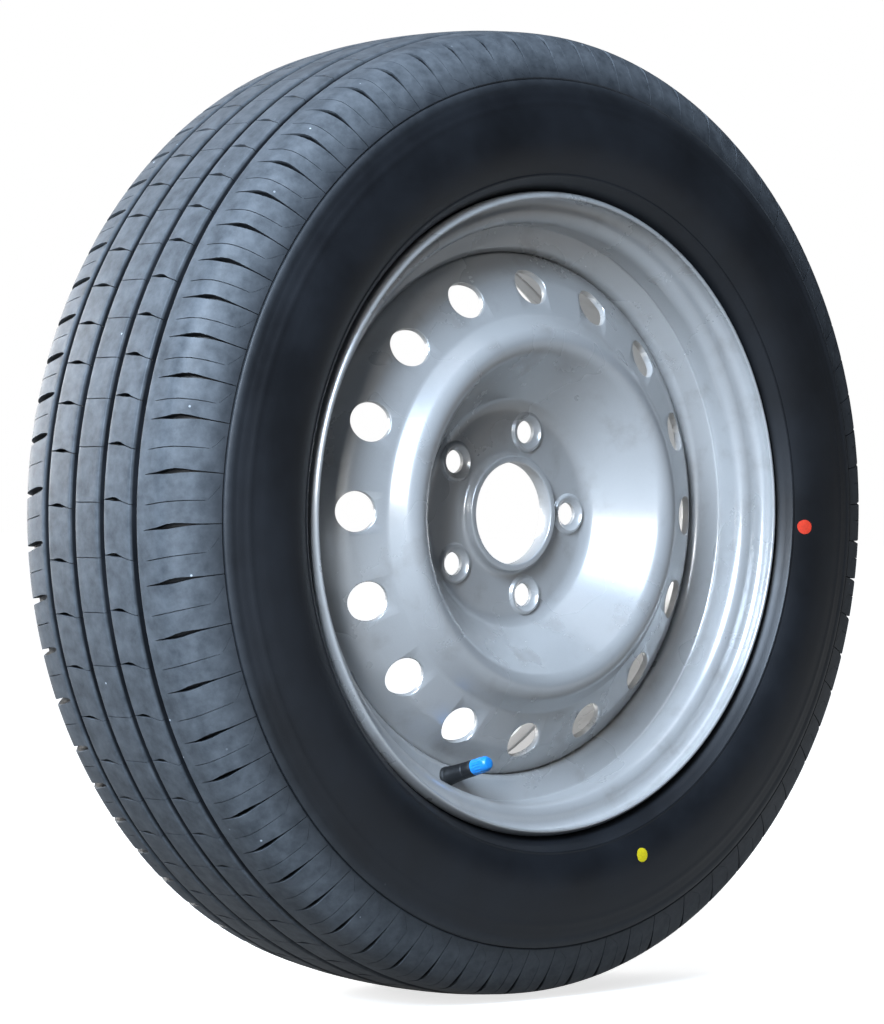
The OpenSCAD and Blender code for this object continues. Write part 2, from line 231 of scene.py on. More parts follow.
def tyreCompound():
    # vulcanised carbon-black rubber, moulded: near black with a soft broad sheen. The tread's lands carry a
    # grey road film with pale grit in it, and the grooves and slots keep the near black rubber, a painted
    # shade in them
    material, shader = newMaterial("mouldedTyreRubber")
    spot = addNode(material, "TexCoord", take="Object")
    x = addNode(material, "SeparateXYZ", {"Vector": spot})
    y, z = x.node.outputs["Y"], x.node.outputs["Z"]
    flat = addNode(material, "CombineXYZ", {"X": x, "Z": z})
    radius = addNode(material, "VectorMath", {0: flat}, take="Value", operation="LENGTH")
    outboard = addNode(material, "Math", {0: y}, operation="ABSOLUTE")
    # the tread's own radius at this place, as a share of the way from 240 to 320 mm
    share = addNode(material, "Math", {0: outboard, 1: 10.0}, operation="MULTIPLY")
    crownShare = addNode(material, "ValToRGB", {"Fac": share}, stops=[
        (0.0, 0.93), (0.24, 0.924), (0.48, 0.90), (0.60, 0.881), (0.66, 0.862), (0.72, 0.816),
        (0.78, 0.724), (0.84, 0.584), (0.90, 0.394), (0.94, 0.244)])
    crownRadius = addNode(material, "Math", {0: crownShare, 1: 0.08, 2: 0.24}, operation="MULTIPLY_ADD")
    depth = addNode(material, "Math", {0: crownRadius, 1: radius}, operation="SUBTRACT")
    # the road film lies on the lands only: the dust is real, and the dark grooves and slots left without it
    # are painted shade
    land = addNode(material, "MapRange", {"Value": depth, "From Min": 0.0006, "From Max": 0.0024,
                   "To Min": 1.0, "To Max": 0.0}, interpolation_type="SMOOTHSTEP")
    zone = addNode(material, "MapRange", {"Value": radius, "From Min": 0.268, "From Max": 0.300},
                   interpolation_type="SMOOTHSTEP")
    landDustAndGrooveShade = addNode(material, "Math", {0: land, 1: zone}, operation="MULTIPLY")
    # handling marks about 70 mm across, road film about 11 mm, and moulded grain drawn coarse at 0.7 mm
    cloud = addNode(material, "TexNoise", {"Vector": spot, "Scale": 14.0, "Detail": 4.0,
                    "Roughness": 0.6})
    film = addNode(material, "TexNoise", {"Vector": spot, "Scale": 90.0, "Detail": 5.0,
                   "Roughness": 0.65})
    fine = addNode(material, "TexNoise", {"Vector": spot, "Scale": 1500.0, "Detail": 3.0,
                   "Roughness": 0.6})
    plain = addNode(material, "ValToRGB", {"Fac": cloud}, stops=[(0.35, "#0e1014"), (0.65, "#191c21")])
    dusty = addNode(material, "ValToRGB", {"Fac": film}, stops=[(0.3, "#3f4449"), (0.7, "#63686d")])
    surface = addNode(material, "Mix", {0: landDustAndGrooveShade, 6: plain, 7: dusty}, take=2, data_type="RGBA")
    # one cell of grit in ten is a pale speck, about 1 mm across
    grit = addNode(material, "TexVoronoi", {"Vector": spot, "Scale": 95.0, "Randomness": 1.0})
    near = addNode(material, "MapRange", {"Value": grit, "From Min": 0.05, "From Max": 0.085,
                   "To Min": 1.0, "To Max": 0.0}, interpolation_type="SMOOTHSTEP")
    pick = addNode(material, "SeparateColor", {"Color": grit.node.outputs["Color"]})
    chosen = addNode(material, "MapRange", {"Value": pick, "From Min": 0.88, "From Max": 0.91})
    speck = addNode(material, "Math", {0: near, 1: chosen}, operation="MULTIPLY")
    speck = addNode(material, "Math", {0: speck, 1: landDustAndGrooveShade}, operation="MULTIPLY")
    surface = addNode(material, "Mix", {0: speck, 6: surface, 7: "#c3cad0"}, take=2, data_type="RGBA")
    gloss = addNode(material, "MapRange", {"Value": cloud, "From Min": 0.3, "From Max": 0.7,
                    "To Min": 0.40, "To Max": 0.50})
    gloss = addNode(material, "Math", {0: landDustAndGrooveShade, 1: 0.14, 2: gloss}, operation="MULTIPLY_ADD")
    grain = addNode(material, "Bump", {"Height": fine, "Distance": 0.00012, "Strength": 0.5})
    bumps = addNode(material, "Bump", {"Height": film, "Distance": 0.0004, "Strength": 0.3,
                    "Normal": grain})
    fillSockets(material, shader, {"Base Color": surface, "Roughness": gloss, "IOR": 1.52,
                "Normal": bumps})
    return material


def wheelPaint():
    # cold-rolled steel with sprayed silver wheel paint: a metallic grey with a soft flake sheen, faint
    # orange peel and brownish patches laid at random
    material, shader = newMaterial("silverPaintedSteel")
    spot = addNode(material, "TexCoord", take="Object")
    # patches of thinner paint about 110 mm, orange peel about 4 mm, flakes drawn coarse at 0.4 mm
    cloud = addNode(material, "TexNoise", {"Vector": spot, "Scale": 9.0, "Detail": 3.0, "Roughness": 0.5})
    peel = addNode(material, "TexNoise", {"Vector": spot, "Scale": 260.0, "Detail": 2.0,
                   "Roughness": 0.4})
    flake = addNode(material, "TexNoise", {"Vector": spot, "Scale": 2600.0, "Detail": 2.0,
                    "Roughness": 0.5})
    brownPatchNoise = addNode(material, "TexNoise", {"Vector": spot, "Scale": 40.0, "Detail": 5.0, "Roughness": 0.6})
    paint = addNode(material, "ValToRGB", {"Fac": cloud}, stops=[(0.3, "#bdbdbc"), (0.7, "#c8c8c7")])
    glint = addNode(material, "MapRange", {"Value": flake, "From Min": 0.35, "From Max": 0.65,
                    "To Max": 0.35})
    paint = addNode(material, "Mix", {0: glint, 6: paint, 7: "#d2d2d1"}, take=2, data_type="RGBA")
    # brownish patches about 25 mm across, laid at random, a little darker and rougher
    brownPatch = addNode(material, "MapRange", {"Value": brownPatchNoise, "From Min": 0.50, "From Max": 0.85,
                    "To Max": 0.35},
                    interpolation_type="SMOOTHSTEP")
    paint = addNode(material, "Mix", {0: brownPatch, 6: paint, 7: "#76695a"}, take=2, data_type="RGBA")
    gloss = addNode(material, "MapRange", {"Value": cloud, "From Min": 0.3, "From Max": 0.7,
                    "To Min": 0.25, "To Max": 0.31})
    gloss = addNode(material, "Math", {0: brownPatch, 1: 0.12, 2: gloss}, operation="MULTIPLY_ADD")
    grain = addNode(material, "Bump", {"Height": flake, "Distance": 0.00002, "Strength": 0.4})
    bumps = addNode(material, "Bump", {"Height": peel, "Distance": 0.00006, "Strength": 0.3,
                    "Normal": grain})
    fillSockets(material, shader, {"Base Color": paint, "Metallic": 0.36, "Roughness": gloss,
                "Coat Weight": 0.25, "Coat Roughness": 0.15, "Normal": bumps})
    return material


def weldPaint():
    # arc weld metal under the same silver paint: rougher and darker, with spatter
    material, shader = newMaterial("paintedWeldSteel")
    spot = addNode(material, "TexCoord", take="Object")
    spatter = addNode(material, "TexNoise", {"Vector": spot, "Scale": 400.0, "Detail": 4.0,
                      "Roughness": 0.6})
    paint = addNode(material, "ValToRGB", {"Fac": spatter}, stops=[(0.3, "#8d8f90"), (0.7, "#a7aaac")])
    bumps = addNode(material, "Bump", {"Height": spatter, "Distance": 0.0003, "Strength": 0.6})
    fillSockets(material, shader, {"Base Color": paint, "Metallic": 0.7, "Roughness": 0.48,
                "Normal": bumps})
    return material


def softRubber(name, dark, light, roughness):
    # moulded EPDM or nitrile rubber: matt, with a soft sheen on its edges and a grain of about 1 mm
    material, shader = newMaterial(name)
    spot = addNode(material, "TexCoord", take="Object")
    grain = addNode(material, "TexNoise", {"Vector": spot, "Scale": 900.0, "Detail": 3.0,
                    "Roughness": 0.6})
    surface = addNode(material, "ValToRGB", {"Fac": grain}, stops=[(0.3, dark), (0.7, light)])
    bumps = addNode(material, "Bump", {"Height": grain, "Distance": 0.00008, "Strength": 0.4})
    fillSockets(material, shader, {"Base Color": surface, "Roughness": roughness, "IOR": 1.5,
                "Normal": bumps})
    return material


def capPlastic():
    # injection-moulded polypropylene, coloured through: bright blue, semi-gloss, flow marks about 3 mm
    material, shader = newMaterial("bluePolypropylene")
    spot = addNode(material, "TexCoord", take="Object")
    flow = addNode(material, "TexNoise", {"Vector": spot, "Scale": 320.0, "Detail": 3.0,
                   "Roughness": 0.5})
    surface = addNode(material, "ValToRGB", {"Fac": flow}, stops=[(0.3, "#1583dc"), (0.7, "#2a9cf2")])
    gloss = addNode(material, "MapRange", {"Value": flow, "From Min": 0.3, "From Max": 0.7,
                    "To Min": 0.28, "To Max": 0.36})
    bumps = addNode(material, "Bump", {"Height": flow, "Distance": 0.00004, "Strength": 0.4})
    fillSockets(material, shader, {"Base Color": surface, "Roughness": gloss, "IOR": 1.49,
                "Normal": bumps})
    return material


def turnedMetal(name, dark, light, roughness):
    # brass bar or drawn spring wire: a bright metal with a light tarnish in patches of about 2 mm
    material, shader = newMaterial(name)
    spot = addNode(material, "TexCoord", take="Object")
    tarnish = addNode(material, "TexNoise", {"Vector": spot, "Scale": 500.0, "Detail": 4.0,
                      "Roughness": 0.6})
    surface = addNode(material, "ValToRGB", {"Fac": tarnish}, stops=[(0.3, dark), (0.7, light)])
    gloss = addNode(material, "MapRange", {"Value": tarnish, "From Min": 0.3, "From Max": 0.7,
                    "To Min": roughness, "To Max": roughness + 0.1})
    bumps = addNode(material, "Bump", {"Height": tarnish, "Distance": 0.00003, "Strength": 0.4})
    fillSockets(material, shader, {"Base Color": surface, "Metallic": 1.0, "Roughness": gloss,
                "Normal": bumps})
    return material


def spotPaint(name, colour):
    # a dab of marking paint: matt, and uneven where the rubber drinks it, in patches of about 1.5 mm
    material, shader = newMaterial(name)
    spot = addNode(material, "TexCoord", take="Object")
    uneven = addNode(material, "TexNoise", {"Vector": spot, "Scale": 700.0, "Detail": 3.0,
                     "Roughness": 0.6})
    thin = addNode(material, "MapRange", {"Value": uneven, "From Min": 0.4, "From Max": 0.75,
                   "To Max": 0.25})
    surface = addNode(material, "Mix", {0: thin, 6: colour, 7: "#3a3535"}, take=2, data_type="RGBA")
    fillSockets(material, shader, {"Base Color": surface, "Roughness": 0.55})
    return material


rubberFinish = tyreCompound()
paintFinish = wheelPaint()
weldFinish = weldPaint()
valveFinish = softRubber("blackValveRubber", "#0d0e10", "#15171a", 0.5)
gasketFinish = softRubber("redGasketRubber", "#8e2a22", "#a8362c", 0.55)
plasticFinish = capPlastic()
brassFinish = turnedMetal("turnedBrass", "#b08d4c", "#d2b069", 0.25)
springFinish = turnedMetal("springSteelWire", "#9da1a4", "#b6babd", 0.28)
redPaint = spotPaint("redMarkingPaint", "#f4462c")
yellowPaint = spotPaint("yellowMarkingPaint", "#f5df1c")
print("stage: materials made")


# Tyre

tyre = {
    "turnSteps": 240,
    # outer surface from the middle of the tread to the edge, as [outboard, radius]
    "crown": [(0, 314.4), (12, 314.3), (24, 313.9), (36, 313.2), (48, 312.0), (60, 310.5), (66, 309.0),
              (72, 305.3), (78, 297.9), (84, 286.7), (90, 271.5), (94, 259.5), (96.3, 250.4),
              (97.5, 240.5)],
    # sidewall from there to the flange, as [radius, outboard]
    "side": [(240.5, 97.5), (235, 97.3), (230, 96.6), (225, 95.1), (220.5, 92.8), (218.2, 91.4),
             (217.3, 91.5), (216.5, 91.1), (216.0, 90.2), (213.5, 88.0), (210.9, 84.4), (208.8, 79.6),
             (206.74, 75.23)],
    "flangeSeat": (197.9, 79.35, 9.75),  # centre and radius of the curl that the bead lies against
    # heel, toe and inside, as [radius, outboard, rounding, segments]
    "bead": [(190.35, 69.6, 6.3, 8), (188.9, 53.1), (191.1, 52.4, 1.5), (195.1, 54.4, 3),
             (204.1, 61.8, 12), (231, 91, 30, 6), (256, 91, 80, 10), (296.6, 63, 15, 5), (301.0, 30, 0)],
    "insideTop": 301.5,
    "grooves": (14.0, 43.3),     # distance of the round grooves from the middle
    "grooveWidth": 6.3,
    "grooveDepth": 7.5,
    "edgeLine": 87.3,            # thin line that the shoulder slots run into
    # where the outline has its corners between the outer groove and the edge line
    "shoulderStops": (49.5, 53, 56.5, 60, 63, 65.5, 67.5, 69.5, 71.5, 73.5, 75.5, 77.3, 79, 80.6, 82.2,
                      83.8, 85.2, 86.4),
    # moulded lines past it, as [outboard, height]
    "edgeRelief": ((87.9, 0.55), (88.6, 0.7), (89.3, 0.5), (89.7, 0.0), (90.3, 0.1), (91.4, 0.1),
                   (92.4, 0.1), (92.9, 0.45), (93.3, 0.1), (94.1, 0.0), (95.2, 0.0), (96.1, 0.0)),
    "thirds": 3,
    "runs": ((9, 4.72), (6, 6.13)),  # short and long pitches in each third, then middle ones
    "middleRun": 8,
    "firstPitch": 127.2,         # degrees round the wheel
    "cutRadius": 314,            # where the sideways distances of the cuts are measured
    "cutReach": 3.0,             # how far the cutters stand out of the tread
    "cutDraft": (0.15, 0.12),    # a cut is wider at its mouth and narrower at its floor, each side
    "thinnestCut": 0.08,         # half width
}


def pitchTable(v):
    third = 360 / v["thirds"]
    used = sum(count * step for count, step in v["runs"])
    runs = list(v["runs"]) + [(v["middleRun"], (third - used) / v["middleRun"])]
    steps = [step for _ in range(v["thirds"]) for count, step in runs for _ in range(count)]
    table, angle = [], v["firstPitch"]
    for step in steps:
        table.append((angle, step))
        angle += step
    return table


def smoothLine(points, perPart=12):
    # a smooth line through the points
    line = []
    ends = [points[0]] + list(points) + [points[-1]]
    for i in range(1, len(ends) - 2):
        p0, p1, p2, p3 = (Vector(ends[i + k]) for k in (-1, 0, 1, 2))
        for k in range(perPart):
            t = k / perPart
            line.append(0.5 * (2 * p1 + (p2 - p0) * t + (2 * p0 - 5 * p1 + 4 * p2 - p3) * t * t
                               + (3 * p1 - p0 - 3 * p2 + p3) * t ** 3))
    return line + [Vector(points[-1])]


crownLine = smoothLine([(-z, r) for z, r in reversed(tyre["crown"][1:3])] + list(tyre["crown"]))


def surfaceAt(outboard):
    # radius and outward direction [radial, outboard] of the tread surface
    side = 1 if outboard >= 0 else -1
    z = abs(outboard)
    for a, b in zip(crownLine, crownLine[1:]):
        if a.x <= z <= b.x:
            t = (z - a.x) / (b.x - a.x)
            along = (b - a).normalized()
            return a.y + (b.y - a.y) * t, along.x, -along.y * side
    return crownLine[-1].y, 0.0, float(side)


def crownCorners(v):
    # the outboard half of the outer surface, with its grooves and lines
    corners, half, deep = [], v["grooveWidth"] / 2, v["grooveDepth"]
    stops = [0, 3.5, 7]
    for g in v["grooves"]:
        r = surfaceAt(g)[0]
        lipIn, lipOut = surfaceAt(g - half)[0], surfaceAt(g + half)[0]
        corners += [(surfaceAt(z)[0], z) for z in stops]
        corners += [(lipIn, g - half, 0.7, 3), (r - deep, g - half + 1, 1.2, 3),
                    (r - deep, g + half - 1, 1.2, 3), (lipOut, g + half, 0.7, 3)]
        stops = [20.5, 24, 28.5, 33, 37]
    corners += [(surfaceAt(z)[0], z) for z in v["shoulderStops"]]
    edge = v["edgeLine"]
    r, nr, nz = surfaceAt(edge)
    corners += [(surfaceAt(edge - 0.35)[0], edge - 0.35), (r - 0.9 * nr, edge - 0.9 * nz),
                (surfaceAt(edge + 0.25)[0] + 0.15, edge + 0.3)]
    for z, lift in v["edgeRelief"]:
        r, nr, nz = surfaceAt(z)
        corners.append((r + lift * nr, z + lift * nz))
    return corners


def beadCorners(v):
    # along the flange's curl, round the heel to the toe, and up the inside
    corners = []
    centreRadius, centreOut, curl = v["flangeSeat"]
    for turn in range(-35, -91, -10):
        a = math.radians(turn)
        corners.append((centreRadius + curl * math.cos(a), centreOut + curl * math.sin(a)))
    return corners + v["bead"]


def tyreOutline(v):
    crown = crownCorners(v)
    outer = crown[1:] + v["side"] + beadCorners(v)
    mirrored = [(c[0], -c[1]) + tuple(c[2:]) for c in outer]
    return [crown[0]] + outer + [(v["insideTop"], 0)] + mirrored[::-1]


tyreBody = meshObject("tyreRubber", turnedBody(tyreOutline(tyre), tyre["turnSteps"]))
print("stage: tyre body turned")

# each cut across the tread is [outboard, side, width, depth] along its line, side being
# millimetres towards higher angles at the tread's radius
cuts = {
    "shoulderSlot": [(52.5, 2.4, 0.35, 1.0), (56, 1.9, 0.7, 4.0), (61, 1.3, 1.1, 5.5),
                     (65, 0.7, 2.0, 6.0), (68.5, 0.0, 3.0, 6.0), (72, -0.7, 3.3, 6.0),
                     (75.5, -1.2, 2.4, 5.0), (78.5, -1.4, 1.4, 4.0), (82, -1.5, 0.8, 2.5),
                     (87.1, -1.6, 0.6, 1.4)],
    "shoulderSipe": [(53.5, 2.3, 0.3, 0.8), (56, 1.9, 0.5, 3.0), (62, 1.0, 0.55, 4.0),
                     (70, -0.3, 0.55, 4.0), (77, -1.2, 0.5, 3.0), (83, -1.7, 0.35, 1.0)],
    "sipeHook": [(83.6, -2.4, 0.3, 0.5), (84.6, -4.8, 0.4, 0.8), (85.6, -8.2, 0.4, 0.8),
                 (86.7, -12.2, 0.35, 0.6)],
    "outerNotch": [(17.6, 0.3, 0.5, 3.0), (20.5, 0.2, 1.0, 5.5), (25, 0.0, 2.4, 5.5),
                   (28.5, 0.2, 2.2, 5.5), (31.5, 0.9, 0.9, 5.0), (34, 1.6, 0.6, 4.0),
                   (38.5, 2.8, 0.55, 4.0), (41, 3.2, 0.5, 3.0)],
    "middleSipe": [(-11.5, 0, 0.4, 3.0), (-5, 0.1, 0.55, 3.5), (5, -0.1, 0.55, 3.5),
                   (11.5, 0, 0.4, 3.0)],
    "innerNotch": [(-41, 0.3, 0.5, 3.0), (-36, 0.2, 0.9, 5.5), (-31, 0.0, 2.4, 5.5),
                   (-27, 0.2, 2.3, 5.5), (-22.5, 0.8, 0.9, 5.0), (-20, 1.4, 0.6, 4.0),
                   (-16.2, 2.0, 0.5, 3.0)],
    "inboardSlot": [(-47.5, 0.0, 0.8, 3.0), (-50, 0.4, 3.0, 6.0), (-56, 1.5, 4.2, 6.5),
                    (-64, 3.6, 4.4, 6.0), (-72, 5.4, 4.2, 4.0), (-79, 6.2, 3.6, 1.9),
                    (-86, 6.6, 2.6, 0.8), (-90, 6.7, 1.6, 0.4)],
    "inboardSipe": [(-50, 0.0, 0.35, 1.0), (-53, 0.4, 0.55, 4.0), (-66, 3.0, 0.55, 4.0),
                    (-74, 4.4, 0.45, 2.0)],
}


def cutterBar(v, stations):
    # a bar along the cut, with one four-cornered section at each station
    bm = bmesh.new()
    rings = []
    mouth, floor = v["cutDraft"]
    for z, side, width, depth in stations:
        r, nr, nz = surfaceAt(z)
        section = []
        for reach, half in ((v["cutReach"], width / 2 + mouth), (-depth, width / 2 - floor)):
            for sign in (1, -1) if reach > 0 else (-1, 1):
                turn = math.degrees((side + sign * max(half, v["thinnestCut"])) / v["cutRadius"])
                section.append(bm.verts.new(place(r + reach * nr, z + reach * nz, turn)))
        rings.append([bm.edges.new((section[k], section[(k + 1) % 4])) for k in range(4)])
    for a, b in zip(rings, rings[1:]):
        bmesh.ops.bridge_loops(bm, edges=a + b)
    for ring in (rings[0], rings[-1]):
        bmesh.ops.contextual_create(bm, geom=ring)
    bmesh.ops.recalc_face_normals(bm, faces=bm.faces)
    return bm


pitches = pitchTable(tyre)
starts = [a for a, step in pitches]
middles = [a + step / 2 for a, step in pitches]
for name, angles in (
        ("shoulderSlot", starts),
        ("shoulderSipe", [a + 0.3 for a in middles]),
        ("sipeHook", [a + 0.3 for a in middles]),
        ("outerNotch", [a + 0.1 for a in middles]),
        ("middleSipe", [a + 0.5 for a in middles]),
        ("innerNotch", [a + 0.9 for a in middles]),
        ("inboardSlot", [a + 2.1 for a in starts]),
        ("inboardSipe", [a + 2.1 for a in middles])):
    cutAway(tyreBody, meshObject(name, repeatAt(cutterBar(tyre, cuts[name]), angles)))
smoothFaces(tyreBody, 32)
dress(tyreBody, "wheel", "tyre_rubber", rubberFinish, "tyre")
print("stage: tread cut,", len(tyreBody.data.polygons), "faces")


# Rim

rim = {
    "turnSteps": 256,
    "sheet": 2.6,
    # tyre side of the sheet between the two curls, as [radius, outboard, rounding]
    "bed": [(197.4, 69.85), (190.1, 69.85, 6.5), (188.63, 53.05, 3), (189.75, 49.85, 2.8),
            (188, 47.24, 4.2), (172.8, 42.3, 4), (172.8, -4, 12), (182.5, -28, 20), (187, -46.85, 5),
            (189.75, -49.85, 2.8), (188.63, -53.05, 3), (190.1, -69.85, 6.5), (197.4, -69.85)],
    "curlCentre": (197.9, 79.35),
    "curlRadius": 9.5,
    "lipTurn": 45,
}


def offsetCorners(corners, distance):
    # the same bends, one sheet thickness further in
    moved = []
    for i, c in enumerate(corners):
        here = Vector(c[:2])
        back = (here - Vector(corners[max(i - 1, 0)][:2])) if i else Vector(corners[1][:2]) - here
        last = len(corners) - 1
        ahead = (Vector(corners[min(i + 1, last)][:2]) - here) if i < last else back
        n1 = Vector((-back.y, back.x)).normalized()
        n2 = Vector((-ahead.y, ahead.x)).normalized()
        spot = here + (n1 + n2) * distance / (1 + n1.dot(n2))
        rounding = c[2] if len(c) > 2 else 0
        bend = back.x * ahead.y - back.y * ahead.x
        if rounding:
            rounding = max(rounding + (distance if bend < 0 else -distance), 0.15)
        moved.append((spot.x, spot.y, rounding) if rounding else (spot.x, spot.y))
    return moved


def curlCorners(v, radius, side):
    cr, cz = v["curlCentre"]
    return [(cr + radius * math.cos(math.radians(a)), side * (cz + radius * math.sin(math.radians(a))))
            for a in range(v["lipTurn"], -90, -9)]


def rimOutline(v):
    inner = v["curlRadius"] - v["sheet"]
    bedInside = offsetCorners(v["bed"], -v["sheet"])
    lip = v["sheet"] / 2
    cr, cz = v["curlCentre"]
    a = math.radians(v["lipTurn"])
    mid = v["curlRadius"] - lip
    end = [(cr + mid * math.cos(a) + lip * math.cos(a + b), cz + mid * math.sin(a) + lip * math.sin(a + b))
           for b in (math.radians(30 * k) for k in range(1, 6))]
    top = curlCorners(v, v["curlRadius"], 1)
    under = curlCorners(v, inner, 1)
    flip = [(r, -z) for r, z in end]
    return (top + v["bed"] + curlCorners(v, v["curlRadius"], -1)[::-1] + flip
            + curlCorners(v, inner, -1) + bedInside[::-1] + under[::-1] + end[::-1])


rimSheet = meshObject("rolledRim", turnedBody(rimOutline(rim), rim["turnSteps"]))

valve = {
    "angle": 250.7,     # degrees round the wheel
    "radius": 180.0,    # where it goes through the well's outboard wall
    "lean": 18.0,
    "hole": 11.5,
    "wallFoot": (172.8, 42.3),
}


def valvePlace(v):
    # from a piece drawn along -Y at the origin to the visible side of the rim's wall
    lean = math.radians(v["lean"])
    sheet = rim["sheet"]
    z = v["wallFoot"][1] + (v["radius"] - v["wallFoot"][0]) * math.tan(lean)
    spot = place(v["radius"] - sheet * math.sin(lean), z + sheet * math.cos(lean))
    return Matrix.Rotation(math.radians(-v["angle"]), 4, "Y") @ Matrix.Translation(spot) @ \
        Matrix.Rotation(-lean, 4, "Z")


def valveTurned(name, corners, steps=64):
    bm = turnedBody(corners, steps)
    bmesh.ops.transform(bm, matrix=valvePlace(valve), verts=bm.verts)
    return meshObject(name, bm)


holeRadius = valve["hole"] / 2
holeShape = [(0, -6), (holeRadius, -6), (holeRadius, 3), (0, 3)]
cutAway(rimSheet, valveTurned("valveHole", holeShape))
smoothFaces(rimSheet, 40)
dress(rimSheet, "wheel", "painted_steel", paintFinish, "rim")
print("stage: rim rolled")


# Disc

disc = {
    "turnSteps": 320,
    "sheet": 4.0,
    # outboard face, from the skirt to the nave, as [radius, outboard, rounding]
    "face": [(170.2, 12.0), (170.2, 38.3, 6), (152.0, 54.7, 14), (129.0, 65.5, 8), (111.4, 84.2, 12.3),
             (72.0, 37.0, 12), (41.3, 37.0)],
    "naveDish": 0.0003,  # how far the nave is dished, per square millimetre from its edge
    "bore": 33.3,
    "collarWall": 4.4,
    "collarTop": 44.4,
    "hubFace": 33.0,
    "vents": 16,
    "ventRadius": 147.6,
    "ventHole": 25.6,
    "ventEdge": 1.3,     # rounding of the pressed edge
    "bolts": 5,
    "boltCircle": 112.0,
    "boltHole": 15.0,
    "ballSeat": 14.0,    # radius of the ball
    "seatMouth": 11.0,
    "seatTurn": 0.9046,  # radians from the ball's foot to the seat's upper edge
    "boss": (12.4, 1.9),  # radius and height
    "archRadius": 60,
    "archDrop": 52,      # of its centre below the skirt's edge
}


def discOutline(v):
    b, t, top = v["bore"], v["collarWall"], v["collarTop"]
    back = offsetCorners(v["face"], v["sheet"])
    face = v["hubFace"] + v["sheet"]
    front = [(r, face - v["naveDish"] * (66 - r) ** 2) for r in (63.5, 60, 56.5, 53, 49.5, 46, 42.8)]
    seat = [(r, v["hubFace"] + v["naveDish"] * (62 - r) ** 2) for r in (38, 42, 46, 50, 54, 58)]
    collar = [(b + t, front[-1][1], 3.5, 6), (b + t, top, 1.2, 4), (b, top, 0.9, 4),
              (b, seat[0][1], 1.0, 3)]
    return v["face"][:-1] + front + collar + seat + back[:-1][::-1]


def bossOutline(v, face):
    # a raised round boss, sunk a little into the nave
    radius, height = v["boss"]
    return [(0, face - 1.5), (radius + 1.5, face - 1.5), (radius + 1.5, face - 0.4),
            (radius + 0.9, face + 0.35, 1.2, 4), (radius, face + height, 1.0, 4), (0, face + height)]


def seatOutline(v, top):
    # a bolt hole with the ball seat over it, as a cutter
    ball, hole = v["ballSeat"], v["boltHole"] / 2
    centre = top + math.sqrt(ball ** 2 - v["seatMouth"] ** 2)
    low = math.asin(hole / ball)
    turns = [low + (v["seatTurn"] - low) * k / 6 for k in range(7)]
    bowl = [(ball * math.sin(a), centre - ball * math.cos(a)) for a in turns]
    return [(0, 20), (hole, 20)] + bowl + [(11.6, top + 0.5), (13, top + 3), (0, top + 3)]


def ventOutline(v):
    # a vent with its rounded rim, as a cutter
    hole, edge = v["ventHole"] / 2, v["ventEdge"]
    rounding = [(hole + edge * (1 - math.cos(a)), -edge + edge * math.sin(a))
                for a in (math.radians(d) for d in (22, 45, 68))]
    return ([(0, -12), (hole, -12), (hole, -edge)] + rounding
            + [(hole + edge * 1.25, 0.15), (hole + edge * 2.5, 1.0), (hole + edge * 2.5, 4), (0, 4)])


def ventPlace(v):
    # square to the cone between the skirt and the crown
    outer, inner = v["face"][2], v["face"][3]
    lean = math.atan2(inner[1] - outer[1], outer[0] - inner[0])
    high = outer[1] + (outer[0] - v["ventRadius"]) * math.tan(lean)
    return Matrix.Translation(place(v["ventRadius"], high)) @ Matrix.Rotation(lean, 4, "Z")


def ringOf(name, corners, count, matrix, steps=48):
    bm = turnedBody(corners, steps)
    bmesh.ops.transform(bm, matrix=matrix, verts=bm.verts)
    return meshObject(name, repeatAt(bm, [360 * k / count for k in range(count)]))


# the small turns keep the facets of the disc, the bosses and the seats off each other
discSheet = meshObject("pressedDisc", turnedBody(discOutline(disc), disc["turnSteps"], start=0.4))
boltSpot = Matrix.Translation(place(disc["boltCircle"] / 2, 0)) @ Matrix.Rotation(0.1, 4, "Y")
naveFace = disc["hubFace"] + disc["sheet"]
cutAway(discSheet, ringOf("bosses", bossOutline(disc, naveFace), disc["bolts"], boltSpot), "UNION")
seatShape = seatOutline(disc, naveFace + disc["boss"][1])
cutAway(discSheet, ringOf("boltSeats", seatShape, disc["bolts"], boltSpot))
cutAway(discSheet, ringOf("vents", ventOutline(disc), disc["vents"], ventPlace(disc), 56))

# four shallow arches in the skirt's edge, between the welds
archRadius, skirtEdge = disc["archRadius"], disc["face"][0]
arch = turnedBody([(0, -20), (archRadius, -20), (archRadius, 20), (0, 20)], 96)
archSpot = Matrix.Rotation(-math.pi / 4, 4, "Y") @ Matrix.Translation(
    place(skirtEdge[0], skirtEdge[1] - disc["archDrop"])) @ Matrix.Rotation(math.pi / 2, 4, "Z")
bmesh.ops.transform(arch, verts=arch.verts, matrix=archSpot)
cutAway(discSheet, meshObject("arches", repeatAt(arch, (0, 90, 180, 270))))
mendCuts(discSheet)
smoothFaces(discSheet, 40)
dress(discSheet, "wheel", "painted_steel", paintFinish, "disc")
print("stage: disc pressed")


# Welds

weld = {"count": 4, "arc": 48.0, "leg": 4.0, "ripple": 2.2, "radius": 170.2, "edge": 12.0}


